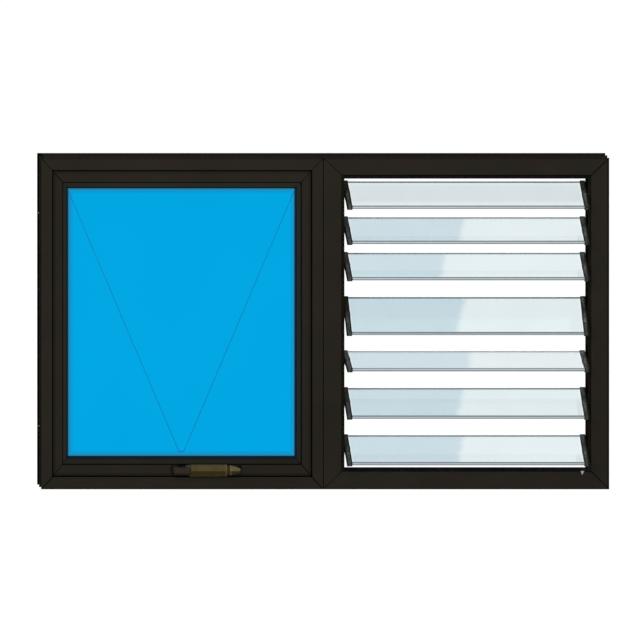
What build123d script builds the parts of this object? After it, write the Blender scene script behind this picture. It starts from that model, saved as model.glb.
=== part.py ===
"""Ventilator window: a top-hung light with a lever handle beside a seven-blade glass louvre.

Both lights stand in mitred aluminium frames of hollow extrusion, coupled side by side.
X runs to the right, Y away from the viewer and Z up. The origin is the middle of the
underside of the sills, half way through the frame depth.
"""
import os
from functools import partial
from math import cos, radians, sin

from build123d import *

# Overall sizes
height = 700.0
awning_width = 596.0
louvre_width = 604.0
frame_depth = 80.0

# Frame extrusions: widths of the front faces, walls and the outer flanges
awning_jamb_face = 23.3
awning_head_face = 25.7
awning_sill_face = 26.0
louvre_jamb_face = 38.5
louvre_head_face = 35.8
louvre_sill_face = 37.5
wall = 1.8
tube_depth = 58.0
flange_height = 5.0
front_flange = 3.0
middle_flange = 8.0
rear_flange = 3.0
rear_leg = 12.0

edge_radius = 0.8
mitre_groove = 1.1

# Coupling bars between the frames, cut short of the corners
coupler_inset = 8.0

# Fixing screws through the rear legs of the two outer jambs
fixing_radius = 2.75
fixing_inset = 125.0

# Stop that the sash closes on, and its weather seal
stop_height = 12.0
seal_width = 6.0
seal_thickness = 4.0

# Sash
sash_clearance = 1.5
sash_setback = 4.0
sash_depth = 40.0
sash_stile_face = 20.3
sash_top_face = 24.3
sash_bottom_face = 23.5

# Glazing of the sash
pane_thickness = 5.0
pane_edge_clearance = 3.0
bead_side_face = 9.7
bead_rail_face = 12.3
bead_setback = 4.0
bead_slope = 7.0
bead_land = 1.5
bead_wall = 1.4
front_gasket = 1.5
rear_gasket = 2.5
gasket_width = 6.0
gasket_lip = 3.0
glazing_leg = 3.0
bead_depth = 14.0

# Louvre blades, from the top one down. The spaces run from the head to the first pivot, from
# pivot to pivot and on to the sill, and share out the height of the opening.
blade_width = 102.0
blade_thickness = 6.0
blade_arris = 1.0
blade_slopes = (66.0, 67.0, 66.0, 48.5, 76.0, 61.0, 62.0)
blade_spaces = (44.2, 75.0, 76.0, 104.5, 95.5, 89.0, 99.0, 43.5)

# Louvre galleries and link bars
gallery_height = 6.3
gallery_wall = 1.6
gallery_setback = 2.0
gallery_depth = 52.0
link_bar_width = 16.0
link_bar_thickness = 2.0
louvre_seal_height = 8.4
louvre_seal_thickness = 3.0
louvre_seal_setback = 4.5

# Blade clips, with their pivots and crank studs. The gaps are from the left and the right
# gallery, because the blades sit a little to the right.
pivot_setback = 12.0
running_clearance = 0.3
clip_gaps = (1.9, 0.4)
clip_lip = 1.5
clip_wall = 2.0
clip_corner = 1.5
clip_end_wall = 3.0
clip_cover = 7.8
clip_waist = 2.5
clip_waist_length = 24.0
boss_radius = 4.5
pivot_radius = 2.5
pivot_clearance = 0.1
crank_length = 16.0
crank_radius = 1.8

# Operating lever at the foot of the right gallery
lever_thickness = 3.0
lever_standoff = 5.0
lever_reach = 22.5
lever_width = 4.0
lever_height = 12.0
lever_foot = 2.0
tab_width = 8.0
tab_drop = 8.5

# Handle on the bottom rail of the sash: base, lever on a pivot, and cap in front
handle_offset = -2.2
handle_raise = 1.6
handle_length = 36.0
handle_height = 13.5
handle_corner = 2.2
base_thickness = 6.0
cap_thickness = 6.0
cap_chamfer = 1.5
root_thickness = 12.0
root_end_height = 10.5
handle_pivot_radius = 4.0
grip_length = 77.0
grip_height = 25.6
grip_depth = 16.0
groove_length = 5.7
groove_depth = 3.6
tip_length = 22.8
tip_taper = ((0.0, 0.88), (0.25, 0.81), (0.65, 0.61), (1.0, 0.38))

# Places worked out from the sizes
rear_reach = flange_height + rear_leg
stop_seat = sash_setback + sash_depth + seal_thickness
x_left = -(awning_width + louvre_width) / 2
x_joint = x_left + awning_width
x_right = x_joint + louvre_width
y_front = -frame_depth / 2

os.makedirs("parts", exist_ok=True)


def keep(part, name):
    """Write one node."""
    part.label = name
    export_step(part, f"parts/{name}.step")


def area(u0, u1, d0, d1, widen=1.0):
    """Rectangle of a section: u is inward from the outer edge, d is depth behind the front."""
    return Pos(widen * (u0 + u1) / 2, (d0 + d1) / 2) * Rectangle(widen * (u1 - u0), d1 - d0)


def eased(section):
    """Round the front corners of a section."""
    return fillet(section.vertices().filter_by(lambda corner: corner.Y < edge_radius), edge_radius)


class Ring:
    """Rectangle of four mitred members. Faces are left, right, bottom and top."""

    def __init__(self, x0, x1, z0, z1, y, faces):
        self.x0, self.x1, self.z0, self.z1, self.y = x0, x1, z0, z1, y
        self.left, self.right, self.bottom, self.top = faces

    def member(self, side, section, reach, groove=mitre_groove):
        """Extrude a section along one side, cut both ends on the mitre lines and groove them."""
        corners = {
            "bottom_right": (Vector(self.x1, 0, self.z0), Vector(-self.right, 0, self.bottom)),
            "bottom_left": (Vector(self.x0, 0, self.z0), Vector(self.left, 0, self.bottom)),
            "top_left": (Vector(self.x0, 0, self.z1), Vector(self.left, 0, -self.top)),
            "top_right": (Vector(self.x1, 0, self.z1), Vector(-self.right, 0, -self.top)),
        }
        starts = {
            "bottom": ("bottom_right", "bottom_left", (0, 0, 1), self.bottom),
            "left": ("bottom_left", "top_left", (1, 0, 0), self.left),
            "top": ("top_left", "top_right", (0, 0, -1), self.top),
            "right": ("top_right", "bottom_right", (-1, 0, 0), self.right),
        }
        first, last, inward, face = starts[side]
        start, start_mitre = corners[first]
        end, end_mitre = corners[last]
        plane = Plane(
            origin=start + Vector(0, self.y, 0),
            x_dir=inward,
            z_dir=Vector(inward).cross(Vector(0, 1, 0)),
        )
        bar = extrude(plane * section, (end - start).length)
        span = reach / face
        outline = [start, start + start_mitre * span, end + end_mitre * span, end]
        trim = make_face(Polyline(outline, close=True))
        bar &= extrude(trim, 3 * frame_depth, dir=(0, 1, 0), both=True)
        for corner, mitre in ((start, start_mitre), (end, end_mitre)):
            line = Plane(origin=corner + Vector(0, self.y, 0), x_dir=(0, 1, 0), z_dir=mitre)
            notch = line * Rot(0, 0, 45) * Rectangle(groove, groove)
            bar -= extrude(notch, (mitre * span).length)
        return bar


def frame_section(jamb_face, face, stop=0.0):
    """Hollow frame extrusion with three outer flanges, and a stop inside where a sash closes.

    A rail is the jamb's section widened, so that both meet on one mitre line.
    """
    part = partial(area, widen=face / jamb_face)
    middle = frame_depth / 2
    section = part(flange_height, jamb_face, 0, tube_depth)
    section += part(0, jamb_face, 0, front_flange)
    section += part(0, flange_height + wall, middle - middle_flange / 2, middle + middle_flange / 2)
    section += part(flange_height, rear_reach, tube_depth - wall, frame_depth)
    section += part(0, rear_reach, frame_depth - rear_flange, frame_depth)
    hollow_end = stop_seat if stop else tube_depth - wall
    section -= part(flange_height + wall, jamb_face - wall, wall, hollow_end)
    section -= part(flange_height + wall, rear_reach - wall, tube_depth, frame_depth - wall)
    if stop:
        section += part(flange_height, jamb_face + stop, stop_seat, tube_depth)
        section -= part(
            flange_height + wall, jamb_face + stop - wall, stop_seat + wall, tube_depth - wall
        )
    return eased(section)


def sash_section(stile_face, face, leg):
    """Hollow sash extrusion with the leg that the pane is bedded on."""
    part = partial(area, widen=face / stile_face)
    leg_front = bead_setback + bead_depth + front_gasket + pane_thickness + rear_gasket
    section = part(0, stile_face, 0, sash_depth)
    section -= part(wall, stile_face - wall, wall, sash_depth - wall)
    section = eased(section)
    return section + area(face - wall, face + leg, leg_front, leg_front + glazing_leg)


def bead_section(face):
    """Hollow glazing bead with a sloping front."""
    outline = make_face(Polyline(
        (0, 0), (bead_land, 0), (face, bead_slope), (face, bead_depth), (0, bead_depth), close=True
    ))
    nose = outline.vertices().sort_by(Axis.X)[-2:].sort_by(Axis.Y)[0]
    return fillet(nose, edge_radius) - offset(outline, -bead_wall)


def fixings(edge, hand):
    """Two cross-holes through the rear leg of an outer jamb."""
    level_y = y_front + tube_depth + (frame_depth - tube_depth) / 2
    line = Plane(origin=(edge, level_y, height / 2), x_dir=(0, 1, 0), z_dir=(hand, 0, 0))
    row = GridLocations(1, height - 2 * fixing_inset, 1, 2)
    return [extrude(line * place * Circle(fixing_radius), rear_reach) for place in row]


# Frame of the top-hung light
awning = Ring(
    x_left, x_joint, 0, height, y_front,
    (awning_jamb_face, awning_jamb_face, awning_sill_face, awning_head_face),
)
for side, node, face in (
    ("left", "awning_left_jamb", awning_jamb_face),
    ("right", "awning_right_jamb", awning_jamb_face),
    ("bottom", "awning_sill", awning_sill_face),
    ("top", "awning_head", awning_head_face),
):
    section = frame_section(awning_jamb_face, face, stop=stop_height)
    member = awning.member(side, section, face * (1 + stop_height / awning_jamb_face) + wall)
    if side == "left":
        member -= fixings(x_left, 1)
    keep(member, node)

# Frame of the louvre light
louvre = Ring(
    x_joint, x_right, 0, height, y_front,
    (louvre_jamb_face, louvre_jamb_face, louvre_sill_face, louvre_head_face),
)
for side, node, face in (
    ("left", "louvre_left_jamb", louvre_jamb_face),
    ("right", "louvre_right_jamb", louvre_jamb_face),
    ("bottom", "louvre_sill", louvre_sill_face),
    ("top", "louvre_head", louvre_head_face),
):
    member = louvre.member(side, frame_section(louvre_jamb_face, face), face + wall)
    if side == "right":
        member -= fixings(x_right, -1)
    keep(member, node)

# Coupling bars in the facing grooves of the two frames
groove_front = frame_depth / 2 - middle_flange / 2 - front_flange
groove_rear = frame_depth / 2 - middle_flange / 2 - rear_flange
couplers = []
for groove, start in (
    (groove_front, y_front + front_flange),
    (groove_rear, middle_flange / 2),
):
    size = groove - 2 * running_clearance
    shell = Rectangle(2 * flange_height - 2 * running_clearance, size)
    tube = shell - offset(shell, -wall)
    place = Pos(x_joint, start + groove / 2, coupler_inset)
    couplers.append(place * extrude(tube, height - 2 * coupler_inset))
keep(Compound(children=couplers), "coupling_bars")

# Sash
sash_x0 = x_left + awning_jamb_face + sash_clearance
sash_x1 = x_joint - awning_jamb_face - sash_clearance
sash_z0 = awning_sill_face + sash_clearance
sash_z1 = height - awning_head_face - sash_clearance
sash = Ring(
    sash_x0, sash_x1, sash_z0, sash_z1, y_front + sash_setback,
    (sash_stile_face, sash_stile_face, sash_bottom_face, sash_top_face),
)
for side, node, face, leg in (
    ("left", "sash_left_stile", sash_stile_face, bead_side_face),
    ("right", "sash_right_stile", sash_stile_face, bead_side_face),
    ("bottom", "sash_bottom_rail", sash_bottom_face, bead_rail_face),
    ("top", "sash_top_rail", sash_top_face, bead_rail_face),
):
    section = sash_section(sash_stile_face, face, leg)
    keep(sash.member(side, section, face + leg + wall), node)

# Glazing beads, inside the sash
bead_y = y_front + sash_setback + bead_setback
beads = Ring(
    sash_x0 + sash_stile_face, sash_x1 - sash_stile_face,
    sash_z0 + sash_bottom_face, sash_z1 - sash_top_face, bead_y,
    (bead_side_face, bead_side_face, bead_rail_face, bead_rail_face),
)
for side, node, face in (
    ("left", "bead_left", bead_side_face),
    ("right", "bead_right", bead_side_face),
    ("bottom", "bead_bottom", bead_rail_face),
    ("top", "bead_top", bead_rail_face),
):
    keep(beads.member(side, bead_section(face), face + wall), node)

# Pane, bedded between two gaskets
pane_y = bead_y + bead_depth + front_gasket
pane_width = beads.x1 - beads.x0 - 2 * pane_edge_clearance
pane_height = beads.z1 - beads.z0 - 2 * pane_edge_clearance
pane_middle = (beads.x0 + beads.x1) / 2
pane_level = (beads.z0 + beads.z1) / 2
pane = Pos(pane_middle, pane_y + pane_thickness / 2, pane_level) * Box(
    pane_width, pane_thickness, pane_height
)
keep(pane, "awning_pane")


def band(width, height_, thickness, side_width, rail_width, y):
    """Flat ring of rubber in the plane of the pane, y being its front face."""
    ring = Rectangle(width, height_) - Rectangle(width - 2 * side_width, height_ - 2 * rail_width)
    plane = Plane(origin=(pane_middle, y, pane_level), x_dir=(1, 0, 0), z_dir=(0, -1, 0))
    return extrude(plane * ring, -thickness)


sight_width = beads.x1 - beads.x0 - 2 * (bead_side_face + gasket_lip)
sight_height = beads.z1 - beads.z0 - 2 * (bead_rail_face + gasket_lip)
gaskets = [
    band(sight_width + 2 * gasket_width, sight_height + 2 * gasket_width,
         thickness, gasket_width, gasket_width, y)
    for thickness, y in ((front_gasket, pane_y - front_gasket),
                         (rear_gasket, pane_y + pane_thickness))
]
keep(Compound(children=gaskets), "glazing_gaskets")

# Weather seal between the back of the sash and the stop
seal_inset = sash_clearance + stop_height / 2 - seal_width / 2
seal_ring = Rectangle(
    awning_width - 2 * (awning_jamb_face + seal_inset),
    height - awning_head_face - awning_sill_face - 2 * seal_inset,
)
seal_ring -= offset(seal_ring, -seal_width, kind=Kind.INTERSECTION)
seal_plane = Plane(
    origin=(
        (x_left + x_joint) / 2,
        y_front + sash_setback + sash_depth,
        (height - awning_head_face + awning_sill_face) / 2,
    ),
    x_dir=(1, 0, 0),
    z_dir=(0, -1, 0),
)
keep(extrude(seal_plane * seal_ring, -seal_thickness), "weather_seal")

# Louvre levels, from the top blade down
opening_top = height - louvre_head_face
spread = (opening_top - louvre_sill_face) / sum(blade_spaces)
blade_levels = [opening_top - spread * sum(blade_spaces[: n + 1]) for n in range(len(blade_slopes))]
pivot_y = y_front + pivot_setback
clip_outers = [louvre_jamb_face + gallery_height + gap for gap in clip_gaps]
blade_ends = [clip_outer + clip_end_wall + running_clearance for clip_outer in clip_outers]


def stud_outline(clearance):
    """Crank stud, eight-sided because it repeats in every clip and link bar."""
    return RegularPolygon(crank_radius + clearance, 8)


def blade_plane(x, level, slope):
    """Plane across a blade: its x runs up and back along the blade, its normal is +X."""
    along = Vector(0, sin(radians(slope)), cos(radians(slope)))
    return Plane(origin=(x, pivot_y, level), x_dir=along, z_dir=(1, 0, 0))


def blade(level, slope):
    """Glass blade with eased long edges."""
    section = chamfer(Rectangle(blade_width, blade_thickness).vertices(), blade_arris)
    start = blade_plane(x_joint + blade_ends[0], level, slope)
    return extrude(start * section, louvre_width - sum(blade_ends))


def clip_outline(length, thickness):
    """Bar with cut corners that widens at the pivot."""
    waist = Polyline(
        (-clip_waist_length / 2, 0), (-clip_waist_length / 4, thickness / 2 + clip_waist),
        (clip_waist_length / 4, thickness / 2 + clip_waist), (clip_waist_length / 2, 0),
        (clip_waist_length / 4, -thickness / 2 - clip_waist),
        (-clip_waist_length / 4, -thickness / 2 - clip_waist), close=True,
    )
    bar = Rectangle(length, thickness)
    return chamfer(bar.vertices(), clip_corner) + make_face(waist)


def clip(level, slope, hand, edge, clip_outer):
    """Blade clip with its pocket, pivot boss and crank stud. Hand is 1 on the left, -1 right."""
    web_reach = clip_outer - louvre_jamb_face - gallery_wall - running_clearance
    outer = blade_plane(edge + hand * clip_outer, level, slope)
    floor = blade_plane(edge + hand * (clip_outer + clip_end_wall), level, slope)
    length = blade_width + 2 * clip_lip
    thickness = blade_thickness + 2 * clip_wall
    body = extrude(outer * clip_outline(length, thickness), hand * (clip_end_wall + clip_cover))
    pocket = Rectangle(
        blade_width + 2 * running_clearance, blade_thickness + 2 * running_clearance
    )
    body -= extrude(floor * pocket, hand * clip_cover)
    body += extrude(outer * RegularPolygon(boss_radius, 12), -hand * web_reach)
    body += extrude(outer * Circle(pivot_radius), -hand * (web_reach + gallery_wall))
    body += extrude(outer * Pos(crank_length, 0) * stud_outline(0), -hand * web_reach)
    return body


for number, (level, slope) in enumerate(zip(blade_levels, blade_slopes), start=1):
    keep(blade(level, slope), f"blade_{number}")
    pair = [
        clip(level, slope, hand, edge, clip_outer)
        for hand, edge, clip_outer in zip((1, -1), (x_joint, x_right), clip_outers)
    ]
    keep(Compound(children=pair), f"clips_{number}")

# Galleries: channels on the jambs, open towards the blades, with a hole for each pivot
crank_setbacks = [crank_length * sin(radians(slope)) for slope in blade_slopes]
bar_y = pivot_y + (min(crank_setbacks) + max(crank_setbacks)) / 2
bar_low = blade_levels[-1] - crank_length / 2
bar_high = blade_levels[0] + crank_length
for hand, edge, name in ((1, x_joint, "left"), (-1, x_right, "right")):
    web_x = edge + hand * louvre_jamb_face
    channel = Rectangle(gallery_height, gallery_depth)
    hollow = Rectangle(gallery_height, gallery_depth - 2 * gallery_wall)
    channel -= Pos(hand * gallery_wall, 0) * hollow
    middle = Pos(
        web_x + hand * gallery_height / 2,
        y_front + gallery_setback + gallery_depth / 2,
        louvre_sill_face,
    )
    gallery = middle * extrude(channel, opening_top - louvre_sill_face)
    bar = Pos(
        web_x + hand * (gallery_wall + running_clearance + link_bar_thickness / 2),
        bar_y,
        (bar_low + bar_high) / 2,
    ) * Box(link_bar_thickness, link_bar_width, bar_high - bar_low)
    for level, slope in zip(blade_levels, blade_slopes):
        web = blade_plane(web_x, level, slope)
        gallery -= extrude(web * Circle(pivot_radius + pivot_clearance), hand * gallery_wall)
        stud_hole = Pos(crank_length, 0) * stud_outline(pivot_clearance)
        bar -= extrude(web * stud_hole, hand * gallery_height)
    keep(gallery, f"gallery_{name}")
    keep(bar, f"link_bar_{name}")

# Seals on the head and the sill that the top and bottom blades close against
seal_length = louvre_width - 2 * (louvre_jamb_face + gallery_height + running_clearance)
for name, level in (
    ("head_seal", opening_top - louvre_seal_height / 2),
    ("sill_seal", louvre_sill_face + louvre_seal_height / 2),
):
    middle = Pos(
        x_joint + louvre_width / 2,
        y_front + louvre_seal_setback + louvre_seal_thickness / 2,
        level,
    )
    keep(middle * Box(seal_length, louvre_seal_thickness, louvre_seal_height), name)

# Operating lever: a tab that stands on the right gallery and hangs over the sill
lever_front = y_front + gallery_setback - lever_standoff
lever_place = Pos(x_right - louvre_jamb_face, lever_front, louvre_sill_face)
arm = Pos(-lever_reach / 2, 0, lever_foot + lever_width / 2) * Box(
    lever_reach, lever_thickness, lever_width
)
arm += Pos(-gallery_height / 2, 0, lever_foot + lever_height / 2) * Box(
    gallery_height, lever_thickness, lever_height
)
arm += Pos(-gallery_height / 2, lever_standoff / 2, lever_foot + lever_height / 2) * Box(
    gallery_height, lever_standoff, lever_height
)
keep(lever_place * arm, "operating_lever")
tab_outline = make_face(Polyline(
    (-lever_reach, 0), (tab_width - lever_reach, 0), (0.4 * tab_width - lever_reach, -tab_drop),
    close=True,
))
tab_face = Plane(origin=(0, lever_thickness / 2, lever_foot), x_dir=(1, 0, 0), z_dir=(0, -1, 0))
keep(lever_place * extrude(tab_face * tab_outline, lever_thickness), "lever_tab")

# Handle: the lever turns on the pivot of the cap, in front of the base on the bottom rail
handle_x = (sash_x0 + sash_x1) / 2 + handle_offset
handle_z = sash_z0 + sash_bottom_face / 2 + handle_raise
rail_y = y_front + sash_setback


def rail_plane(standoff):
    """Plane parallel to the rail, in front of it by a standoff, facing the viewer."""
    return Plane(origin=(handle_x, rail_y - standoff, handle_z), x_dir=(1, 0, 0), z_dir=(0, -1, 0))


plate = RectangleRounded(handle_length, handle_height, handle_corner)
base = extrude(rail_plane(0) * plate, base_thickness)
keep(base, "handle_base")

root_front = base_thickness + running_clearance + root_thickness
cap = extrude(rail_plane(root_front + running_clearance) * plate, cap_thickness)
cap = chamfer(cap.faces().sort_by(Axis.Y)[0].edges(), cap_chamfer)
cap += extrude(
    rail_plane(base_thickness) * Circle(handle_pivot_radius),
    root_thickness + 2 * running_clearance,
)
keep(cap, "handle_cap")

grip_y = rail_y - base_thickness - running_clearance - grip_depth / 2
grip_start = handle_x + handle_length / 2 + running_clearance


def grip_plane(x):
    """Plane across the grip, its x up and its y towards the rail."""
    return Plane(origin=(x, grip_y, handle_z), x_dir=(0, 0, 1), z_dir=(-1, 0, 0))


def grip_outline(size):
    """Section with a flat back, rounded sides and a ridge along the front."""
    depth = grip_depth * size / grip_height
    outline = make_face(Polyline(
        (-size / 2, depth * 0.15), (-size / 3, depth / 2), (size / 3, depth / 2),
        (size / 2, depth * 0.15), (size * 0.4, -depth / 4), (0, -depth / 2),
        (-size * 0.4, -depth / 4), close=True,
    ))
    return fillet(outline.vertices(), size / 20)


root = make_face(Polyline(
    (-handle_length / 4, -root_end_height / 2), (-handle_length / 4, root_end_height / 2),
    (handle_length / 2 + running_clearance, grip_height / 2 - 1),
    (handle_length / 2 + running_clearance, 1 - grip_height / 2), close=True,
))
root = fillet(root.vertices().sort_by(Axis.X)[:2], root_end_height / 3)
root -= Circle(handle_pivot_radius + pivot_clearance)
lever = extrude(rail_plane(base_thickness + running_clearance) * root, root_thickness)
grip_end = grip_start + grip_length
tip_start = grip_end + groove_length
lever += extrude(grip_plane(grip_start) * grip_outline(grip_height), -grip_length)
lever += extrude(grip_plane(grip_end) * grip_outline(grip_height - 2 * groove_depth), -groove_length)
lever += loft([
    grip_plane(tip_start + along * tip_length) * grip_outline(share * grip_height)
    for along, share in tip_taper
], ruled=True)
keep(lever, "handle_lever")
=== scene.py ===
"""Looks of the ventilator window: finishes, small fittings, studio and camera."""
from math import pi, radians

import bmesh
import bpy
from mathutils import Matrix, Vector


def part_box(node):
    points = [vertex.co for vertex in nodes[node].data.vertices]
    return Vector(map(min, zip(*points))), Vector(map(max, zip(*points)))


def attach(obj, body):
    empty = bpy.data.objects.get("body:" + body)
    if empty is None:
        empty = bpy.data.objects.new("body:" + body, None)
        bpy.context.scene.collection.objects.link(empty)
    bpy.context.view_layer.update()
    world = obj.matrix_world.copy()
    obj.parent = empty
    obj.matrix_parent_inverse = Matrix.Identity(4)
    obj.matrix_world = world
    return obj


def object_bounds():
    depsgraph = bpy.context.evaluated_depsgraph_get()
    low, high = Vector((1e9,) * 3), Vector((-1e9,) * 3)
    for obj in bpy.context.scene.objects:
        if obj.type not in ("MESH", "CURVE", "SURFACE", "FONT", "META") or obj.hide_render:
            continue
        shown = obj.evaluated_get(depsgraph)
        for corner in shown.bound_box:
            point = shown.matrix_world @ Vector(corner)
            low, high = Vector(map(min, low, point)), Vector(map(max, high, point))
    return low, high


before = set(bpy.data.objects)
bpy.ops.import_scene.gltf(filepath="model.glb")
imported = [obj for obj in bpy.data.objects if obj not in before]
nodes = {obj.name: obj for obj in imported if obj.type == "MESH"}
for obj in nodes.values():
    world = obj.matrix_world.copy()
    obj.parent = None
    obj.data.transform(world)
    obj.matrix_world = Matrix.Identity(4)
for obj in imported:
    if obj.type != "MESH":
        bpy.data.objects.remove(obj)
cad_box = [list(corner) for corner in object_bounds()]


# Outer frames. Two hollow aluminium extrusions with stepped outer flanges, cut on mitre lines
# and crimped over corner cleats. They are powder coated dark bronze: satin, with a fine orange
# peel, a faint mottle and dark mitre lines. Painted shade darkens their edges and the sides
# towards the wall, and painted light lifts the flanges in the head's channel.
def add(tree, kind, inputs=None, **settings):
    """Add a node to a tree. Its settings are set, and its inputs are set or linked."""
    made = tree.nodes.new(kind)
    for key, value in settings.items():
        setattr(made, key, value)
    for key, value in (inputs or {}).items():
        if isinstance(value, bpy.types.NodeSocket):
            tree.links.new(value, made.inputs[key])
        else:
            made.inputs[key].default_value = value
    return made


def start_material(name):
    """A material with an empty tree, and the tree."""
    material = bpy.data.materials.new(name)
    material.use_nodes = True
    material.node_tree.nodes.clear()
    return material, material.node_tree


def show(tree, shader):
    """Link a shader to the material's output."""
    add(tree, "ShaderNodeOutputMaterial", {"Surface": shader.outputs[0]})


def place(tree):
    """Object coordinates, in metres."""
    return add(tree, "ShaderNodeTexCoord").outputs["Object"]


def axes(tree, vector=None):
    """X, Y and Z of a vector, or else of the object coordinates."""
    vector = place(tree) if vector is None else vector
    return add(tree, "ShaderNodeSeparateXYZ", {0: vector}).outputs


def noise(tree, scale, detail=2.0, stretch=(1, 1, 1)):
    """Noise on the object coordinates, from 0 to 1."""
    stretched = add(tree, "ShaderNodeMapping", {"Vector": place(tree), "Scale": stretch})
    made = add(tree, "ShaderNodeTexNoise", {
        "Vector": stretched.outputs[0], "Scale": scale, "Detail": detail})
    return made.outputs["Fac"]


def spread(tree, value, low, high, start=0.3, end=0.7):
    """Carry a value from start and end over to low and high."""
    made = add(tree, "ShaderNodeMapRange", {
        "Value": value, "From Min": start, "From Max": end, "To Min": low, "To Max": high})
    return made.outputs["Result"]


def reckon(tree, operation, value, *others):
    """A sum on two or more numbers and sockets, from left to right."""
    for other in others:
        value = add(tree, "ShaderNodeMath", {0: value, 1: other}, operation=operation).outputs[0]
    return value


def apart(tree, first, second):
    """Distance between two numbers."""
    difference = reckon(tree, "SUBTRACT", first, second)
    return add(tree, "ShaderNodeMath", {0: difference}, operation="ABSOLUTE").outputs[0]


def blend(tree, factor, first, second):
    """Mix of two colours."""
    made = add(tree, "ShaderNodeMix", {"Factor": factor}, data_type="RGBA")
    for socket, colour in ((made.inputs[6], first), (made.inputs[7], second)):
        if isinstance(colour, bpy.types.NodeSocket):
            tree.links.new(colour, socket)
        else:
            socket.default_value = (*colour, 1)
    return made.outputs[2]


def bump(tree, height, strength, distance):
    """Normal that a height field gives."""
    made = add(tree, "ShaderNodeBump", {
        "Height": height, "Strength": strength, "Distance": distance})
    return made.outputs["Normal"]


def edges(tree, radius):
    """1 along the edges of a shape and in its corners, 0 on its flat faces."""
    rounded = add(tree, "ShaderNodeBevel", {"Radius": radius}, samples=6)
    flat = add(tree, "ShaderNodeNewGeometry")
    turn = add(tree, "ShaderNodeVectorMath", {
        0: rounded.outputs[0], 1: flat.outputs["Normal"]}, operation="DOT_PRODUCT")
    return spread(tree, turn.outputs["Value"], 1.0, 0.0, 0.90, 0.999)


def coated_aluminium(name, light, dark, black, roughness, shading=None):
    """Powder coat, slightly mottled, with painted shade on edges and corners and from a shading
    function, which also paints light.
    """
    material, tree = start_material(name)
    colour = blend(tree, spread(tree, noise(tree, 9, 3), 0, 1), dark, light)
    tinge = blend(tree, spread(tree, noise(tree, 21, 2), 0, 1, 0.35, 0.65),
                  (1.09, 0.97, 1.03), (0.94, 1.03, 0.95))
    tinged = add(tree, "ShaderNodeVectorMath", {0: colour, 1: tinge}, operation="MULTIPLY")
    colour = tinged.outputs[0]
    # Painted shade: black along the edges and in the corners.
    dark_edges_and_shade = edges(tree, 0.0007)
    # A shading function adds painted shade to this, and a lift that paints light by scaling the
    # colour.
    if shading:
        dark_edges_and_shade, lift = shading(tree, dark_edges_and_shade)
        lifted = add(tree, "ShaderNodeVectorMath", {0: colour, "Scale": lift}, operation="SCALE")
        colour = lifted.outputs[0]
    grain = noise(tree, 900, 2)
    show(tree, add(tree, "ShaderNodeBsdfPrincipled", {
        "Base Color": blend(tree, dark_edges_and_shade, colour, black),
        "Metallic": 1.0,
        "Roughness": spread(tree, grain, roughness - 0.04, roughness + 0.04),
        "Specular Tint": (0.05, 0.05, 0.05, 1),
        "Normal": bump(tree, grain, 0.05, 0.00006),
    }))
    return material


def dress(names, material):
    """Give CAD nodes a material."""
    for name in names:
        nodes[name].data.materials.clear()
        nodes[name].data.materials.append(material)


(window_left, _, window_foot), (window_right, _, window_head) = cad_box
joint_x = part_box("awning_right_jamb")[1][0]
frame_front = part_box("awning_head")[0][1]
flange_reach, channel_depth, rear_flange = 0.0105, 0.005, 0.02
mitre_height, line_blur = 0.050, 0.0010
filled_height, filled_start, filled_end = 0.080, 0.04, 0.06


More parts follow.
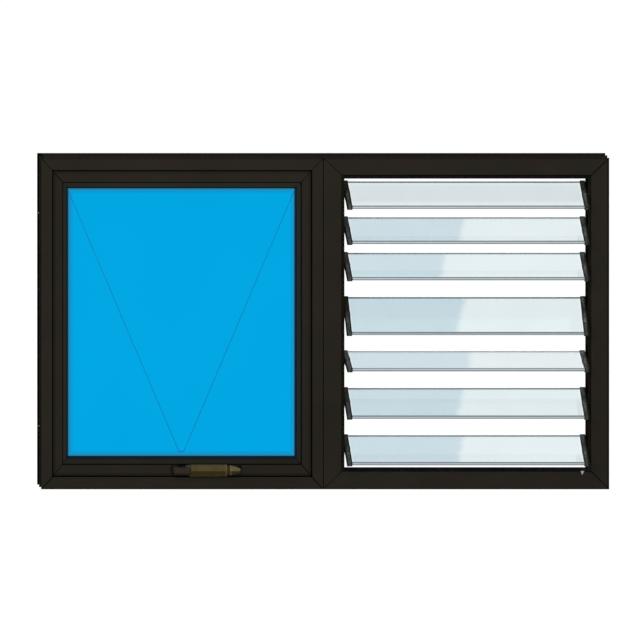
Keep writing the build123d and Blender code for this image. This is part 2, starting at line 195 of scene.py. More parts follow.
def frame_shading(tree, dark_edges_and_shade):
    """Painted shade on the sides towards the wall, along the front's outer rim and on the channel
    flanges, painted light on the head's channel flanges, dark joint and mitre lines, and no edge
    darkening near the head's left mitres.
    """
    x, y, z = axes(tree)
    from_left = reckon(tree, "SUBTRACT", x, window_left)
    from_right = reckon(tree, "SUBTRACT", window_right, x)
    from_foot = reckon(tree, "SUBTRACT", z, window_foot)
    from_head = reckon(tree, "SUBTRACT", window_head, z)
    from_joint = apart(tree, x, joint_x)
    from_rim = reckon(tree, "MINIMUM", from_left, from_right, from_foot, from_head)

    # A dark line at the joint between the frames and at the mitres; the lines along the right, head
    # and foot rims are painted shade.
    lines = spread(tree, from_joint, 0.9, 0, 0.0005, 0.0012)
    for distance, weight, width in ((from_right, 0.75, 0.0034), (from_head, 0.45, 0.0016),
                                    (from_foot, 0.40, 0.0030)):
        line = spread(tree, distance, weight, 0, width, width + line_blur)
        lines = reckon(tree, "MAXIMUM", lines, line)
    for rail, jamb in ((from_foot, from_left), (from_foot, from_joint), (from_foot, from_right),
                       (from_head, from_right)):
        mitre = spread(tree, apart(tree, rail, jamb), 0.8, 0, 0.0004, 0.0014)
        on_rail = reckon(tree, "LESS_THAN", rail, mitre_height)
        lines = reckon(tree, "MAXIMUM", lines, reckon(tree, "MULTIPLY", mitre, on_rail))

    _, facing, _ = axes(tree, add(tree, "ShaderNodeNewGeometry").outputs["True Normal"])
    in_front = reckon(tree, "LESS_THAN", facing, -0.5)
    sideways = reckon(tree, "LESS_THAN", apart(tree, facing, 0.0), 0.5)
    on_flange = reckon(tree, "LESS_THAN", from_rim, flange_reach)
    at_left = reckon(tree, "LESS_THAN", from_left, flange_reach)
    at_head = reckon(
        tree, "GREATER_THAN", reckon(tree, "LESS_THAN", from_head, flange_reach), at_left)
    behind = reckon(tree, "MULTIPLY", in_front, on_flange,
                    reckon(tree, "GREATER_THAN", y, frame_front + channel_depth))
    rear = reckon(tree, "GREATER_THAN", y, rear_flange)
    # Painted shade at the top of the flanges behind the front, and on the rear flange at the left.
    flange_top = reckon(tree, "MULTIPLY", spread(tree, from_head, 1, 0, 0.0016, 0.0034),
                        spread(tree, rear, 0.45, 0.85, 0, 1))
    flange_rim = reckon(tree, "MAXIMUM", reckon(tree, "MULTIPLY", at_left, rear), flange_top)
    filled = reckon(tree, "MULTIPLY", reckon(tree, "LESS_THAN", from_head, filled_height),
                    spread(tree, x, 1, 0, filled_start, filled_end))
    # Painted shade also on the sides of the outer flanges, towards the wall.
    shade = reckon(tree, "MAXIMUM",
                   reckon(tree, "MULTIPLY", dark_edges_and_shade, spread(tree, filled, 0.55, 0, 0, 1)),
                   reckon(tree, "MULTIPLY", sideways, on_flange, 0.5),
                   reckon(tree, "MULTIPLY", behind, flange_rim),
                   reckon(tree, "MULTIPLY", in_front, lines))
    # Painted light: the flanges in the head's channel are lifted lighter.
    lift = reckon(tree, "ADD", 1.0, reckon(tree, "MULTIPLY", behind, at_head, 1.1))
    return shade, lift


bronze_light, bronze_dark = (0.0208, 0.0180, 0.0138), (0.0182, 0.0157, 0.0119)
bronze_black = (0.0012, 0.0010, 0.0007)
frame_coat = coated_aluminium(
    "frame_coat", bronze_light, bronze_dark, bronze_black, 0.50, shading=frame_shading)
dress([f"{light}_{side}" for light in ("awning", "louvre")
       for side in ("head", "sill", "left_jamb", "right_jamb")], frame_coat)

# Coupling bars. Two hollow bars in the facing grooves hold the frames side by side. They are
# cut short of the corners, and coloured darker than the frames as painted shade in the grooves.
coupler_coat = coated_aluminium(
    "coupler_coat", (0.011, 0.010, 0.008), (0.008, 0.007, 0.006), (0.003, 0.003, 0.002), 0.55)
dress(["coupling_bars"], coupler_coat)

# Frame screws. Cross-slotted pan heads of zinc-plated steel sit on the rear legs of the two
# outer jambs and go through the holes there into the wall.
screw_steel, tree = start_material("screw_steel")
scratches = noise(tree, 700, 3, (1, 1, 6))
show(tree, add(tree, "ShaderNodeBsdfPrincipled", {
    "Base Color": blend(tree, spread(tree, noise(tree, 400, 3), 0, 1),
                        (0.36, 0.37, 0.38), (0.25, 0.26, 0.27)),
    "Metallic": 1.0,
    "Roughness": spread(tree, scratches, 0.28, 0.45),
    "Normal": bump(tree, scratches, 0.2, 0.00005),
}))


def geometry_tree(name, inputs):
    """Geometry Nodes tree with named number inputs, and its input and output nodes."""
    tree = bpy.data.node_groups.new(name, "GeometryNodeTree")
    tree.interface.new_socket("Geometry", in_out="INPUT", socket_type="NodeSocketGeometry")
    for label in inputs:
        tree.interface.new_socket(label, in_out="INPUT", socket_type="NodeSocketFloat")
    tree.interface.new_socket("Geometry", in_out="OUTPUT", socket_type="NodeSocketGeometry")
    return tree, tree.nodes.new("NodeGroupInput"), tree.nodes.new("NodeGroupOutput")


def put_in_scene(name, data):
    """A new object in the scene."""
    made = bpy.data.objects.new(name, data)
    bpy.context.scene.collection.objects.link(made)
    return made


def grow(name, points, tree, sizes):
    """Run a tree on points with directions, and keep the result as a plain piece."""
    data = bpy.data.meshes.new(name)
    data.from_pydata([at for at, _ in points], [], [])
    facing = data.attributes.new("facing", "FLOAT_VECTOR", "POINT")
    facing.data.foreach_set("vector", [part for _, way in points for part in way])
    piece = put_in_scene(name, data)
    maker = piece.modifiers.new(name, "NODES")
    maker.node_group = tree
    for socket in tree.interface.items_tree:
        if socket.in_out == "INPUT" and socket.name in sizes:
            maker[socket.identifier] = sizes[socket.name]
    evaluated = piece.evaluated_get(bpy.context.evaluated_depsgraph_get())
    solid = bpy.data.meshes.new_from_object(evaluated)
    piece.modifiers.clear()
    piece.data = solid
    bpy.data.meshes.remove(data)
    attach(piece, "root")


def screw_tree(name, material):
    """Pan-head screw with a cross slot, set on points and turned to face their way."""
    labels = ("Head Radius", "Head Height", "Shank Radius", "Length")
    tree, given, made = geometry_tree(name, labels)
    head_radius, head_height, shank_radius, length = (given.outputs[label] for label in labels)
    head = add(tree, "GeometryNodeMeshCone", {
        "Vertices": 28, "Side Segments": 1, "Radius Bottom": head_radius,
        "Radius Top": reckon(tree, "MULTIPLY", head_radius, 0.72), "Depth": head_height})
    cut = add(tree, "GeometryNodeMeshBoolean", operation="DIFFERENCE")
    tree.links.new(head.outputs["Mesh"], cut.inputs[0])
    bar_length = reckon(tree, "MULTIPLY", head_radius, 1.1)
    bar_width = reckon(tree, "MULTIPLY", head_radius, 0.22)
    depth = reckon(tree, "MULTIPLY", head_height, 1.2)
    for across, along in ((bar_length, bar_width), (bar_width, bar_length)):
        size = add(tree, "ShaderNodeCombineXYZ", {0: across, 1: along, 2: depth})
        bar = add(tree, "GeometryNodeMeshCube", {"Size": size.outputs[0]})
        lift = add(tree, "ShaderNodeCombineXYZ", {2: head_height})
        cutter = add(tree, "GeometryNodeTransform", {
            "Geometry": bar.outputs["Mesh"], "Translation": lift.outputs[0]})
        tree.links.new(cutter.outputs[0], cut.inputs[1])
    shank = add(tree, "GeometryNodeMeshCylinder", {
        "Vertices": 20, "Radius": shank_radius, "Depth": length})
    drop = add(tree, "ShaderNodeCombineXYZ", {2: reckon(tree, "MULTIPLY", length, -0.4999)})
    stem = add(tree, "GeometryNodeTransform", {
        "Geometry": shank.outputs["Mesh"], "Translation": drop.outputs[0]})
    screw = add(tree, "GeometryNodeJoinGeometry")
    tree.links.new(cut.outputs[0], screw.inputs[0])
    tree.links.new(stem.outputs[0], screw.inputs[0])
    way = add(tree, "GeometryNodeInputNamedAttribute", {"Name": "facing"}, data_type="FLOAT_VECTOR")
    turn = add(tree, "FunctionNodeAlignRotationToVector", {"Vector": way.outputs[0]}, axis="Z")
    spots = add(tree, "GeometryNodeMeshToPoints", {"Mesh": given.outputs["Geometry"]})
    set_out = add(tree, "GeometryNodeInstanceOnPoints", {
        "Points": spots.outputs[0], "Instance": screw.outputs[0], "Rotation": turn.outputs[0]})
    real = add(tree, "GeometryNodeRealizeInstances", {"Geometry": set_out.outputs[0]})
    coat = add(tree, "GeometryNodeSetMaterial", {
        "Geometry": real.outputs[0], "Material": material})
    tree.links.new(coat.outputs[0], made.inputs[0])
    return tree


leg_face, leg_y, leg_levels = 0.583, 0.029, (0.125, 0.575)
grow("frame_screws",
     [((side * leg_face, leg_y, level), (-side, 0, 0)) for side in (-1, 1) for level in leg_levels],
     screw_tree("frame_screw", screw_steel),
     {"Head Radius": 0.0045, "Head Height": 0.0024, "Shank Radius": 0.0024, "Length": 0.015})


# Sash. A hollow section, mitred and coated with the frames, carries the pane. It hangs from the
# head on stays and closes on the stop of the frame. Painted shade darkens its outer rim, and a
# painted contact shadow lies on the rail round both ends of the handle.
def inside(tree, left, right, foot, head):
    """How far a place lies inside a rectangle in X and Z, in metres."""
    x, _, z = axes(tree)
    return reckon(tree, "MINIMUM",
                  reckon(tree, "SUBTRACT", x, left), reckon(tree, "SUBTRACT", right, x),
                  reckon(tree, "SUBTRACT", z, foot), reckon(tree, "SUBTRACT", head, z))


def rim_shading(rails, strength, plain, fade):
    """Shading with a dark outer rim on a ring of rails, and fainter edges near its head."""
    boxes = [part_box(name) for name in rails]
    left, foot = (min(low[axis] for low, _ in boxes) for axis in (0, 2))
    right, head = (max(high[axis] for _, high in boxes) for axis in (0, 2))

    def shade(tree, dark_edges_and_shade):
        rim = spread(tree, inside(tree, left, right, foot, head), strength, 0, plain, fade)
        _, _, z = axes(tree)
        near_head = reckon(tree, "GREATER_THAN", z, head - 0.030)
        seen = reckon(tree, "MULTIPLY", dark_edges_and_shade, spread(tree, near_head, 1, 0.4, 0, 1))
        return reckon(tree, "MAXIMUM", seen, rim), 1.0

    return shade


sash_rails = ["sash_top_rail", "sash_bottom_rail", "sash_left_stile", "sash_right_stile"]
# Painted shade: the sash's outer rim is darker over its outermost 8.5 mm.
sash_rim = rim_shading(sash_rails, 0.5, 0.0, 0.0085)
base_left, lever_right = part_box("handle_base")[0][0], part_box("handle_lever")[1][0]
# Rectangles in X and Z where painted contact shadow lies round the handle.
painted_shadow_spots = ((base_left - 0.0032, base_left + 0.0060, 0.0300, 0.0500),
               (base_left + 0.0100, base_left + 0.0290, 0.0470, 0.0530),
               (lever_right - 0.0040, lever_right + 0.0042, 0.0340, 0.0500))


def sash_shading(tree, dark_edges_and_shade):
    """Painted shade on the outer rim, and painted contact shadow round both ends of the handle."""
    shaded, lift = sash_rim(tree, dark_edges_and_shade)
    for spot in painted_shadow_spots:
        shadow_mask = spread(tree, inside(tree, *spot), 0, 0.9, 0, 0.0012)
        shaded = reckon(tree, "MAXIMUM", shaded, shadow_mask)
    return shaded, lift


sash_coat = coated_aluminium(
    "sash_coat", bronze_light, bronze_dark, bronze_black, 0.47, shading=sash_shading)
dress(sash_rails, sash_coat)

# Glazing beads. Four thin hollow extrusions with a sloping face snap into the sash and hold the
# glass. Their tones are painted light and shade: the top and left ones paler, the bottom darkest.
bead_light_and_shade_tones = {"top": (0.033, 0.036, 0.026), "left": (0.042, 0.042, 0.031),
              "right": (0.025, 0.026, 0.025), "bottom": (0.0145, 0.0140, 0.0110)}
bead_rim = rim_shading([f"bead_{side}" for side in bead_light_and_shade_tones], 0.8, 0.0016, 0.0028)
for side, tone in bead_light_and_shade_tones.items():
    paler, darker = [1.05 * part for part in tone], [0.95 * part for part in tone]
    dress([f"bead_{side}"], coated_aluminium(
        f"bead_coat_{side}", paler, darker, bronze_black, 0.62, shading=bead_rim))


# Rubber. Black extruded glazing gaskets hold the pane front and back, with the pane's blue light
# painted on them, a matt seal lies behind the sash, and two more strips close the louvre at its
# head and sill.
def rubber(name, colour, dust_and_painted_light):
    """Matt rubber, mottled with a second colour: dust on the seals, painted blue light on the
    gaskets.
    """
    material, tree = start_material(name)
    grain = noise(tree, 1600, 3)
    show(tree, add(tree, "ShaderNodeBsdfPrincipled", {
        "Base Color": blend(tree, spread(tree, noise(tree, 40, 4), 0, 1, 0.45, 0.8), colour, dust_and_painted_light),
        "Roughness": spread(tree, grain, 0.7, 0.9),
        "Specular IOR Level": 0.08,
        "Normal": bump(tree, grain, 0.2, 0.0001),
    }))
    return material


# The glazing gaskets' blue is painted light from the pane.
dress(["glazing_gaskets"],
      rubber("glazing_rubber", (0.0010, 0.0200, 0.0420), (0.0020, 0.0230, 0.0460)))
dress(["weather_seal", "head_seal", "sill_seal"],
      rubber("seal_rubber", (0.0022, 0.0024, 0.0026), (0.0045, 0.0045, 0.0045)))


# Pane. One 5 mm sheet of body-tinted blue glass, bedded on the gaskets. It is flat and clean.
# Painted shade and a painted reflection of the gasket make it grey-blue along the sight line.
def ramp(tree, value, stops):
    """Colours along a value from 0 to 1, blended from one stop to the next."""
    made = add(tree, "ShaderNodeValToRGB", {"Fac": value})
    steps = made.color_ramp.elements
    while len(steps) < len(stops):
        steps.new(1.0)
    for step, (at, colour) in zip(steps, stops):
        step.position, step.color = at, (*colour, 1)
    return made.outputs["Color"]


def lets_lamps_through(tree, shader, tint):
    """Glass that lamps shine through, so that it casts a coloured shadow."""
    path = add(tree, "ShaderNodeLightPath")
    clear = add(tree, "ShaderNodeBsdfTransparent", {"Color": (*tint, 1)})
    return add(tree, "ShaderNodeMixShader", {
        0: path.outputs["Is Shadow Ray"], 1: shader.outputs[0], 2: clear.outputs[0]})


gasket_lip = 0.003
bead_boxes = {side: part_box(f"bead_{side}") for side in ("top", "bottom", "left", "right")}
glass_left = bead_boxes["left"][1][0] + gasket_lip
glass_right = bead_boxes["right"][0][0] - gasket_lip
glass_bottom = bead_boxes["bottom"][1][2] + gasket_lip
glass_top = bead_boxes["top"][0][2] - gasket_lip

blue_glass, tree = start_material("blue_glass")
inwards = spread(tree, inside(tree, glass_left + 0.0015, glass_right + 0.0015,
                              glass_bottom + 0.0007, glass_top - 0.0003), 0, 1, -0.0020, 0.0140)
wave = noise(tree, 6, 1)
clean = blend(tree, spread(tree, wave, 0, 1), (0.0005, 0.376, 0.756), (0.0006, 0.370, 0.742))
# Painted shade and painted gasket reflection, darkest at the sight line.
edge_shade_and_reflection = ramp(tree, inwards, (
    (0.11, (0.0012, 0.0232, 0.0545)), (0.14, (0.0185, 0.162, 0.287)),
    (0.32, (0.0185, 0.246, 0.456)), (0.46, (0.0091, 0.296, 0.578)),
    (0.59, (0.0027, 0.310, 0.650)), (0.92, (0.0006, 0.384, 0.772))))
glass = add(tree, "ShaderNodeBsdfPrincipled", {
    "Base Color": blend(tree, spread(tree, inwards, 0, 1, 0.75, 0.95), edge_shade_and_reflection, clean),
    "Roughness": 0.02,
    "IOR": 1.02,
    "Transmission Weight": 1.0,
    "Specular Tint": (0.02, 0.4, 0.8, 1),
    "Normal": bump(tree, wave, 0.02, 0.0004),
})
show(tree, lets_lamps_through(tree, glass, (0.05, 0.42, 0.8)))
dress(["awning_pane"], blue_glass)

# Opening symbol. Two thin lines of darker blue ink run from the top corners of the glass to a
# short one at its foot, as drawings mark a top-hung light. They are printed on the front.
symbol_ink, tree = start_material("symbol_ink")
show(tree, add(tree, "ShaderNodeBsdfPrincipled", {
    "Base Color": blend(tree, spread(tree, noise(tree, 120, 3), 0, 1),
                        (0.001, 0.13, 0.30), (0.002, 0.19, 0.42)),
    "Roughness": 0.5,
    "Specular IOR Level": 0.1,
}))


def from_bmesh(name, bm, material):
    """An object made of a finished bmesh."""
    data = bpy.data.meshes.new(name)
    bm.to_mesh(data)
    bm.free()
    data.materials.append(material)
    return put_in_scene(name, data)


ink_width, ink_thickness, ink_length = 0.0013, 0.0001, 0.979
glass_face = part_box("awning_pane")[0][1]
apex = Vector(((glass_left + glass_right) / 2 + 0.0006, glass_face, glass_bottom - 0.0012))
corners = [Vector((x, glass_face, glass_top)) for x in (glass_left - 0.0006, glass_right + 0.0012)]
ends = [corner.lerp(apex, ink_length) for corner in corners]
bm = bmesh.new()
for start, end in (*zip(corners, ends), ends):
    aside = (end - start).normalized().cross(Vector((0, 1, 0))) * ink_width / 2
    outline = [start + aside, end + aside, end - aside, start - aside]
    front = [bm.verts.new(point - Vector((0, ink_thickness, 0))) for point in outline]
    back = [bm.verts.new(point) for point in outline]
    bm.faces.new(front)
    bm.faces.new(back[::-1])
    for i in range(4):
        bm.faces.new((front[i], back[i], back[i - 3], front[i - 3]))
bmesh.ops.recalc_face_normals(bm, faces=bm.faces)
symbol = from_bmesh("opening_symbol", bm, symbol_ink)
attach(symbol, "root")

# Galleries. Two channels, coated nearly black, stand on the jambs of the louvre light and hold
# the pivots of the clips. Small blackened pan-head screws fix them through their webs.
gallery_coat = coated_aluminium(
    "gallery_coat", (0.0090, 0.0092, 0.0056), (0.0064, 0.0060, 0.0040), (0.0014, 0.0014, 0.0010),
    0.55)
dress(["gallery_left", "gallery_right"], gallery_coat)
black_steel = coated_aluminium(
    "black_steel", (0.03, 0.03, 0.03), (0.02, 0.02, 0.02), (0.005, 0.005, 0.005), 0.4)
web, screw_y = 0.0016, 0.004
left_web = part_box("gallery_left")[0][0] + web
right_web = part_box("gallery_right")[1][0] - web
grow("gallery_screws",
     [((x, screw_y, level), (way, 0, 0)) for x, way in ((left_web, 1), (right_web, -1))
      for level in (0.07, 0.22, 0.32, 0.42, 0.50, 0.64)],
     screw_tree("gallery_screw", black_steel),
     {"Head Radius": 0.0032, "Head Height": 0.0012, "Shank Radius": 0.0016, "Length": 0.003})

# Link bars. A strip of dark anodised aluminium in each gallery takes the crank studs of all the
# clips, so that the blades turn together.
link_finish = coated_aluminium(
    "link_finish", (0.020, 0.020, 0.020), (0.014, 0.014, 0.014), (0.005, 0.005, 0.005), 0.4)
dress(["link_bar_left", "link_bar_right"], link_finish)

# Louvre blades. Seven strips of 6 mm clear float glass with a faint blue cast, at their own
# slopes. The long edges are ground, paler on the flat and dark along both arrises. Painted light
# in the blades' tints makes the first and the fourth clearer, and the first three paler towards
# the foot.
blade_width, ground_low, ground_high, flat_width = 0.102, 0.0046, 0.0022, 0.0024
left_gap, right_gap, clip_width = 0.0019, 0.0004, 0.0108
left_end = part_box("gallery_left")[1][0] + left_gap
right_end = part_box("gallery_right")[0][0] - right_gap
louvre_middle, half_apart = (left_end + right_end) / 2, (right_end - left_end) / 2
slopes = (66.0, 67.0, 66.0, 48.5, 76.0, 61.0, 62.0)
# Tints of the blades, each lighter or darker as painted light.
tints_with_painted_light = ((0.785, 0.868, 0.891), (0.757, 0.840, 0.860), (0.770, 0.854, 0.875),
         (0.803, 0.884, 0.905), (0.739, 0.823, 0.840), (0.751, 0.834, 0.852),
         (0.769, 0.853, 0.871))
foot_painted_light = {1: 1.0, 2: 0.25, 3: 0.25}


def blade_axes(tree, number):
    """X, Y and Z from the middle of a blade, with Y up across the blade and Z through it."""
    (_, near, low), (_, far, high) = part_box(f"blade_{number}")
    moved = add(tree, "ShaderNodeMapping", {
        "Vector": place(tree), "Location": (-louvre_middle, -(near + far) / 2, -(low + high) / 2)})
    turned = add(tree, "ShaderNodeMapping", {
        "Vector": moved.outputs[0], "Rotation": (radians(slopes[number - 1]) - pi / 2, 0, 0)})
    return axes(tree, turned.outputs[0])


def louvre_glass(number, tint):
    """Clear glass of one blade, with ground edges, painted light towards its foot, and paler beside
    the clips.
    """
    material, tree = start_material(f"louvre_glass_{number}")
    x, y, z = blade_axes(tree, number)
    low_edge = reckon(tree, "LESS_THAN", y, ground_low - blade_width / 2)
    high_edge = reckon(tree, "GREATER_THAN", y, blade_width / 2 - ground_high)
    ground = reckon(tree, "MAXIMUM", low_edge, high_edge)
    pale_flat = reckon(tree, "MULTIPLY", reckon(tree, "GREATER_THAN", z, 0.0),
                       reckon(tree, "LESS_THAN", z, flat_width))
    ripple = noise(tree, 9, 1)
    cast = blend(tree, spread(tree, ripple, 0, 1), tint, [0.97 * part for part in tint])
    # Painted light: paler towards the foot on the first three blades.
    foot = spread(tree, y, foot_painted_light.get(number, 0.0), 0,
                  0.0050 - blade_width / 2, 0.0280 - blade_width / 2)
    cast = blend(tree, foot, cast, (0.900, 0.975, 0.995))
    from_clip = reckon(tree, "SUBTRACT", half_apart - clip_width, apart(tree, x, 0.0))
    cast = blend(tree, spread(tree, from_clip, 0.7, 0, 0.0010, 0.0045), cast, (0.97, 0.99, 1.0))
    glass = add(tree, "ShaderNodeBsdfPrincipled", {
        "Base Color": cast,
        "Roughness": 0.0,
        "IOR": 1.45,
        "Transmission Weight": 1.0,
        "Normal": bump(tree, ripple, 0.02, 0.0005),
    })
    grit = noise(tree, 1200, 2)
    edge = add(tree, "ShaderNodeBsdfPrincipled", {
        "Base Color": blend(tree, pale_flat, (0.19, 0.23, 0.245), (0.58, 0.64, 0.66)),
        "Roughness": spread(tree, grit, 0.5, 0.7),
        "Specular IOR Level": 0.2,
        "Normal": bump(tree, grit, 0.2, 0.0001),
    })
    mixed = add(tree, "ShaderNodeMixShader", {0: ground, 1: glass.outputs[0], 2: edge.outputs[0]})
    show(tree, lets_lamps_through(tree, mixed, (0.8, 0.87, 0.9)))
    return material


for number, tint in enumerate(tints_with_painted_light, start=1):
    dress([f"blade_{number}"], louvre_glass(number, tint))


# Blade clips. Moulded holders take the ends of each blade and turn in the galleries. They are
# dark grey-green plastic with a painted highlight along the middle of the face, nearly black at
# the rims and the upper ends, and the left ones are olive in their upper halves.
def grade(tree, value, stops):
    """Numbers along a value from 0 to 1, blended from one stop to the next."""
    return ramp(tree, value, [(at, [number] * 3) for at, number in stops])


# Shares of painted highlight along the left and the right clips.
highlight_stops_left = ((0.03, 0.32), (0.11, 0.06), (0.30, 0.30), (0.42, 0.18), (0.48, 0.02))
highlight_stops_right = ((0.12, 0.18), (0.26, 0.46), (0.34, 0.86), (0.50, 0.30), (0.66, 0.04), (0.95, 0.60))


def clip_plastic(number):
    """Plastic of one pair of clips."""
    material, tree = start_material(f"clip_plastic_{number}")
    x, y, _ = blade_axes(tree, number)
    on_left = reckon(tree, "LESS_THAN", x, 0.0)
    from_end = reckon(tree, "SUBTRACT", half_apart, apart(tree, x, 0.0))
    crest = spread(tree, on_left, clip_width / 2 + 0.0010, clip_width / 2 - 0.0004, 0, 1)
    rim = spread(tree, apart(tree, from_end, crest), 0, 1, 0.0020, 0.0038)
    upper_end = spread(tree, y, 0, 1, 0.0450, 0.0475)
    specks = noise(tree, 280, 2)
    dark = reckon(tree, "MAXIMUM", rim, upper_end, edges(tree, 0.0006),
                  spread(tree, specks, 0.8, 0, 0.33, 0.47))
    face = blend(tree, spread(tree, noise(tree, 60, 3), 0, 1, 0.35, 0.65),
                 (0.020, 0.022, 0.018), (0.034, 0.039, 0.033))
    upper_half = spread(tree, y, 0, 1, 0.0, 0.010)
    face = blend(tree, reckon(tree, "MULTIPLY", on_left, upper_half), face, (0.028, 0.023, 0.010))
    # Painted highlight along the middle of the face, graded along the blade.
    along = spread(tree, y, 0, 1, -blade_width / 2, blade_width / 2)
    highlight_share = add(tree, "ShaderNodeMix", {
        0: on_left, 2: grade(tree, along, highlight_stops_right), 3: grade(tree, along, highlight_stops_left)}).outputs[0]
    painted_highlight = reckon(tree, "MULTIPLY", highlight_share, spread(tree, specks, 0.2, 1.8, 0.35, 0.65))
    face = blend(tree, painted_highlight, face, (0.130, 0.138, 0.110))
    grain = noise(tree, 1200, 2)
    show(tree, add(tree, "ShaderNodeBsdfPrincipled", {
        "Base Color": blend(tree, dark, face, (0.003, 0.0032, 0.003)),
        "Roughness": spread(tree, grain, 0.45, 0.6),
        "Specular IOR Level": 0.12,
        "Normal": bump(tree, grain, 0.15, 0.0001),
    }))
    return material


for number in range(1, len(slopes) + 1):
    dress([f"clips_{number}"], clip_plastic(number))


# Operating lever. A black moulded arm on the right gallery ends in a finger tab that hangs over
# the sill and is pushed to set the blades. The tab's pale grey is a painted highlight.
def grooves(tree, distance):
    """1 deep in a groove or a gap, 0 in the open, from ambient occlusion; used for painted shade.
    """
    open_sky = add(tree, "ShaderNodeAmbientOcclusion", {"Distance": distance}, samples=8)
    return spread(tree, open_sky.outputs["AO"], 1.0, 0.0, 0.15, 0.85)


def moulded(name, light, dark, roughness, shine, sheen_colour=(1, 1, 1), shading=None):
    """Moulded plastic or coated casting, slightly mottled, with painted shade along edges and in
    grooves.
    """
    material, tree = start_material(name)
    grain = noise(tree, 1100, 2)
    dark_edges_and_shade = reckon(tree, "MAXIMUM", edges(tree, 0.0008), grooves(tree, 0.004))
    if shading:
        dark_edges_and_shade = shading(tree, dark_edges_and_shade)
    mottle = blend(tree, spread(tree, noise(tree, 60, 3), 0, 1), dark, light)
    show(tree, add(tree, "ShaderNodeBsdfPrincipled", {
        "Base Color": blend(tree, dark_edges_and_shade, mottle, [0.35 * part for part in dark]),
        "Roughness": spread(tree, grain, roughness - 0.05, roughness + 0.05),
        "Specular IOR Level": shine,
        "Specular Tint": (*sheen_colour, 1),
        "Normal": bump(tree, grain, 0.12, 0.0001),
    }))
    return material


dress(["operating_lever"],
      moulded("lever_black", (0.004, 0.004, 0.0035), (0.003, 0.003, 0.003), 0.6, 0.1))
dress(["lever_tab"], moulded("lever_tab_highlight", (0.40, 0.42, 0.40), (0.32, 0.34, 0.32), 0.5, 0.2))

# Handle. A cast lever with a ridged grip turns on the pivot of a brown cap, on a base screwed to
# the bottom rail. The lever is coated bronze-gold and darker brown in its turned groove. Painted
# shade darkens its lower half and its root behind and under the cap, and painted highlights lie
# beside the groove and along its foot. Painted shade darkens the rim of the cap.
brown_light, brown_dark, brown_sheen = (0.036, 0.026, 0.016), (0.026, 0.019, 0.012), (0.5, 0.4, 0.3)
cap_low, cap_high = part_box("handle_cap")


def cap_shading(tree, dark_edges_and_shade):
    """Painted shade on the rounded-over rim of the cap, at its foot and both ends."""
    x, _, z = axes(tree)
    from_foot = reckon(tree, "SUBTRACT", z, cap_low[2])
    from_end = reckon(tree, "MINIMUM", reckon(tree, "SUBTRACT", x, cap_low[0]),
                      reckon(tree, "SUBTRACT", cap_high[0], x))
    return reckon(tree, "MAXIMUM", dark_edges_and_shade, spread(tree, from_foot, 0.8, 0, 0.0024, 0.0038),
                  spread(tree, from_end, 0.8, 0, 0.0014, 0.0026))


dress(["handle_base"],
      moulded("handle_brown", brown_light, brown_dark, 0.45, 0.15, brown_sheen))
dress(["handle_cap"],
      moulded("cap_brown", brown_light, brown_dark, 0.45, 0.15, brown_sheen, shading=cap_shading))
lever_low, lever_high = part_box("handle_lever")
grip_middle = (lever_low[2] + lever_high[2]) / 2
groove_start, groove_end = lever_high[0] - 0.0285, lever_high[0] - 0.0228
handle_gold, tree = start_material("handle_gold")
x, _, z = axes(tree)
tip = reckon(tree, "GREATER_THAN", x, groove_end)
groove = reckon(tree, "MULTIPLY", reckon(tree, "SUBTRACT", 1.0, tip),
                reckon(tree, "GREATER_THAN", x, groove_start))
from_groove = apart(tree, x, (groove_start + groove_end) / 2)
# Painted highlight on the turned ridges beside the groove.
ridge_highlight = spread(tree, from_groove, 0.35, 0, 0.0045, 0.0075)
# Painted shade on the lower half of the grip.
shaded_lower_half = spread(tree, z, 1, 0, grip_middle - 0.0010, grip_middle + 0.0002)
root = spread(tree, x, 1, 0, cap_high[0] - 0.0024, cap_high[0] + 0.0016)
# Painted highlight along the foot of the grip.
foot_highlight = spread(tree, z, 1, 0, lever_low[2] + 0.0016, lever_low[2] + 0.0024)
colour = blend(tree, spread(tree, noise(tree, 50, 3), 0, 1),
               (0.050, 0.035, 0.012), (0.072, 0.050, 0.018))
for mask, tone in ((tip, (0.105, 0.088, 0.036)), (shaded_lower_half, (0.030, 0.022, 0.006)),
                   (ridge_highlight, (0.160, 0.125, 0.055)), (groove, (0.034, 0.017, 0.002)),
                   (root, (0.052, 0.038, 0.024)), (foot_highlight, (0.090, 0.078, 0.050))):
    colour = blend(tree, mask, colour, tone)
# Painted shadow on the root behind and under the cap, and painted shade along edges and in grooves.
shadow_behind_cap = spread(tree, x, 0.9, 0, cap_high[0] - 0.0100, cap_high[0] - 0.0080)
shadow_under_cap = spread(tree, z, 0.8, 0, cap_low[2] + 0.0010, cap_low[2] + 0.0030)
black = reckon(tree, "MAXIMUM", edges(tree, 0.0007), grooves(tree, 0.002), shadow_behind_cap,
               reckon(tree, "MULTIPLY", root, shadow_under_cap))
brushing = noise(tree, 500, 3, (0.1, 1, 1))
show(tree, add(tree, "ShaderNodeBsdfPrincipled", {
    "Base Color": blend(tree, black, colour, (0.006, 0.004, 0.002)),
    "Roughness": spread(tree, brushing, 0.38, 0.52),
    "Specular IOR Level": 0.15,
    "Specular Tint": (0.6, 0.45, 0.2, 1),
    "Normal": bump(tree, brushing, 0.15, 0.0001),
}))
dress(["handle_lever"], handle_gold)


# Studio floor. A wide pale floor under the window. It is white to the camera and to shiny metal,
# and the window's soft shadow still dims it. Seen through the louvre's glass, a stretch of it
# behind the left part of the blades is painted a little blue up to a ragged edge: a painted
# reflection in the blades.
def seen_directly(tree):
    """1 for rays from the camera, off shiny surfaces and through glass."""
    path = add(tree, "ShaderNodeLightPath")
    return reckon(tree, "MAXIMUM", path.outputs["Is Camera Ray"], path.outputs["Is Glossy Ray"],
                  path.outputs["Is Transmission Ray"])


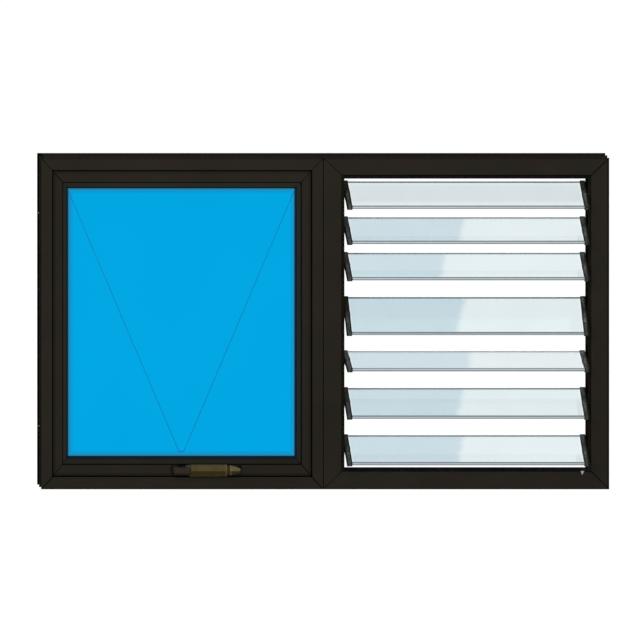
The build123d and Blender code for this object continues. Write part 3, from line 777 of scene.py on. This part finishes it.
floor_size, whiteness = 30.0, 0.93
sight = Vector((0.110, 1.0, -0.1325))
reflection_left, reflection_far, edge_low, edge_high = 0.0, 4.40, 0.24, 0.32
reflection_edges = {7: (0.286, 0.296), 6: (0.283, 0.297), 5: (0.308, 0.311), 4: (0.280, 0.300),
               3: (0.247, 0.259), 2: (0.286, 0.299)}
edge_stops = []
for number, ends in reflection_edges.items():
    for corner, edge in zip(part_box(f"blade_{number}"), ends):
        seen_at = (corner[1] - corner[2] / sight.z) / reflection_far
        edge_stops.append((seen_at, (edge - edge_low) / (edge_high - edge_low)))
floor_paint, tree = start_material("floor_paint")
x, y, _ = axes(tree)
edge_share = grade(tree, spread(tree, y, 0, 1, 0, reflection_far), edge_stops)
edge_here = spread(tree, edge_share, edge_low, edge_high, 0, 1)
along = reckon(tree, "SUBTRACT", x, reckon(tree, "MULTIPLY", y, sight.x))
wobble = spread(tree, noise(tree, 9, 2), -0.003, 0.003)
past_edge = reckon(tree, "SUBTRACT", reckon(tree, "ADD", along, wobble), edge_here)
# Painted reflection: blue on the floor, seen only through glass.
painted_reflection = reckon(tree, "MULTIPLY", spread(tree, along, 0, 1, reflection_left - 0.02, reflection_left + 0.02),
             spread(tree, past_edge, 1, 0, -0.007, 0.007),
             spread(tree, y, 1, 0, reflection_far - 0.03, reflection_far + 0.03),
             add(tree, "ShaderNodeLightPath").outputs["Is Transmission Ray"])
paint = add(tree, "ShaderNodeBsdfDiffuse", {"Color": (0.8, 0.8, 0.8, 1)})
white = add(tree, "ShaderNodeEmission", {
    "Color": blend(tree, painted_reflection, (1, 1, 1), (0.717, 0.802, 0.851)), "Strength": 1.06})
share = reckon(tree, "MULTIPLY", seen_directly(tree), whiteness)
show(tree, add(tree, "ShaderNodeMixShader", {0: share, 1: paint.outputs[0], 2: white.outputs[0]}))
bm = bmesh.new()
bmesh.ops.create_grid(bm, x_segments=1, y_segments=1, size=floor_size / 2)
floor = from_bmesh("floor", bm, floor_paint)

# Studio light. A white room gives an even light from all round, a large soft lamp stands in
# front, up on the left, and another hangs behind for the back of the window.
ambient = 0.5
world = bpy.data.worlds.new("studio")
bpy.context.scene.world = world
world.use_nodes = True
tree = world.node_tree
tree.nodes.clear()
room = add(tree, "ShaderNodeBackground", {"Color": (1, 1, 1, 1), "Strength": ambient})
backdrop = add(tree, "ShaderNodeBackground", {"Color": (1, 1, 1, 1), "Strength": 1.0})
mixed = add(tree, "ShaderNodeMixShader", {
    0: seen_directly(tree), 1: room.outputs[0], 2: backdrop.outputs[0]})
add(tree, "ShaderNodeOutputWorld", {"Surface": mixed.outputs[0]})
window_middle = Vector((0, 0, 0.35))


def soft_lamp(name, at, width, height, brightness):
    """Rectangular lamp turned to the window, where 1 is as bright as the white backdrop."""
    data = bpy.data.lights.new(name, "AREA")
    data.shape = "RECTANGLE"
    data.size, data.size_y = width, height
    data.energy = brightness * pi * width * height
    lamp = put_in_scene(name, data)
    way = (window_middle - Vector(at)).to_track_quat("-Z", "Y").to_matrix().to_4x4()
    lamp.matrix_world = Matrix.Translation(at) @ way
    lamp.visible_camera = False


soft_lamp("key_lamp", (-1.6, -3.2, 2.6), 2.4, 1.8, 8.0)
soft_lamp("back_lamp", (-2.2, 3.4, 2.4), 2.0, 1.8, 5.0)

# Camera. The photograph is a parallel view whose picture plane lies flat to the window's face,
# while the line of sight comes from a little above and to the left, so the camera is slanted.
aim, distance = Vector((-0.0111, -0.040, 0.3578)), 3
data = bpy.data.cameras.new("camera")
data.type = "ORTHO"
data.ortho_scale = 1.3522
data.clip_end = 40
camera = put_in_scene("camera", data)
bpy.context.scene.camera = camera
camera.parent = put_in_scene("camera_holder", None)
slant = Matrix((Vector((1, 0, 0)), Vector((0, 0, 1)), -sight.normalized())).transposed().to_4x4()
slant.translation = aim - distance * sight
camera.matrix_parent_inverse = slant

bpy.context.scene.view_settings.view_transform = "Standard"
